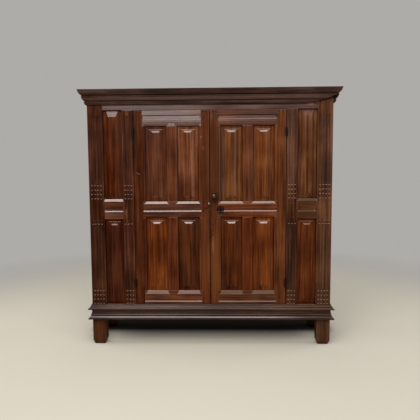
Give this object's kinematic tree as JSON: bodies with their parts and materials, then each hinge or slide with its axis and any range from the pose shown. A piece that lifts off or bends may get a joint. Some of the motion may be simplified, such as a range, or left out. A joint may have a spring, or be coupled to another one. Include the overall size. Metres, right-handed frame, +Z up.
{
  "type": "housekeepers cupboard",
  "caption": "Joined oak housekeeper's cupboard with fluted posts, fielded panel doors on lift-off hinges, a rim lock, an inner shelf, and a moulded cornice and base.",
  "frame": {"origin": "on the floor, in the middle of the overall footprint", "axes": "+Z up, +X to the right seen from the front, -Y towards the front"},
  "size_m": [1.812, 0.502, 1.811],
  "materials": {
    "post_oak": "dark waxed oak, worn at the edges",
    "frame_oak": "waxed reddish brown oak",
    "panel_oak": "waxed orange brown oak",
    "moulding_oak": "very dark waxed oak",
    "board_oak": "dry unwaxed oak",
    "black_iron": "forged black iron",
    "bright_iron": "rubbed iron",
    "turned_oak": "turned and polished, nearly black"
  },
  "bodies": {
    "case": {"left_front_post": "post_oak", "right_front_post": "post_oak", "left_jamb_stile": "frame_oak", "right_jamb_stile": "frame_oak", "frieze_rail": "frame_oak", "bottom_rail": "frame_oak", "left_flank_rail": "frame_oak", "right_flank_rail": "frame_oak", "left_lower_flank_panel": "panel_oak", "left_upper_flank_panel": "panel_oak", "right_lower_flank_panel": "panel_oak", "right_upper_flank_panel": "panel_oak", "left_back_post": "board_oak", "right_back_post": "board_oak", "left_side_board": "board_oak", "right_side_board": "board_oak", "back_boards": "board_oak", "top_board": "board_oak", "floor_board": "board_oak", "shelf": "board_oak", "cornice_front": "moulding_oak", "cornice_left_return": "moulding_oak", "cornice_right_return": "moulding_oak", "base_front": "moulding_oak", "base_left_return": "moulding_oak", "base_right_return": "moulding_oak", "left_lower_hinge_jamb_half": "black_iron", "left_upper_hinge_jamb_half": "black_iron", "right_lower_hinge_jamb_half": "black_iron", "right_upper_hinge_jamb_half": "black_iron"},
    "left_door": {"left_door_meeting_stile": "frame_oak", "left_door_hinge_stile": "frame_oak", "left_door_bottom_rail": "frame_oak", "left_door_mid_rail": "frame_oak", "left_door_top_rail": "frame_oak", "left_door_lower_muntin": "frame_oak", "left_door_upper_muntin": "frame_oak", "left_door_lower_inner_panel": "panel_oak", "left_door_lower_outer_panel": "panel_oak", "left_door_upper_inner_panel": "panel_oak", "left_door_upper_outer_panel": "panel_oak", "left_lower_hinge_door_half": "black_iron", "left_upper_hinge_door_half": "black_iron"},
    "right_door": {"right_door_meeting_stile": "frame_oak", "right_door_hinge_stile": "frame_oak", "right_door_bottom_rail": "frame_oak", "right_door_mid_rail": "frame_oak", "right_door_top_rail": "frame_oak", "right_door_lower_muntin": "frame_oak", "right_door_upper_muntin": "frame_oak", "right_door_lower_inner_panel": "panel_oak", "right_door_lower_outer_panel": "panel_oak", "right_door_upper_inner_panel": "panel_oak", "right_door_upper_outer_panel": "panel_oak", "right_lower_hinge_door_half": "black_iron", "right_upper_hinge_door_half": "black_iron", "lock_case": "black_iron", "escutcheon": "black_iron", "knob": "turned_oak"},
    "lock_bolt": {"lock_bolt": "bright_iron"}
  },
  "joints": [
    {"name": "left_door_hinge", "type": "hinge", "parent": "case", "child": "left_door", "pos_m": [-0.5345, -0.206, 0.298], "axis": [0, 0, -1], "range_deg": [0, 165]},
    {"name": "right_door_hinge", "type": "hinge", "parent": "case", "child": "right_door", "pos_m": [0.5345, -0.206, 0.298], "axis": [0, 0, 1], "range_deg": [0, 165]},
    {"name": "lock_bolt_throw", "type": "slide", "parent": "right_door", "child": "lock_bolt", "axis": [-1, 0, 0], "range_m": [0, 0.022]}
  ]
}
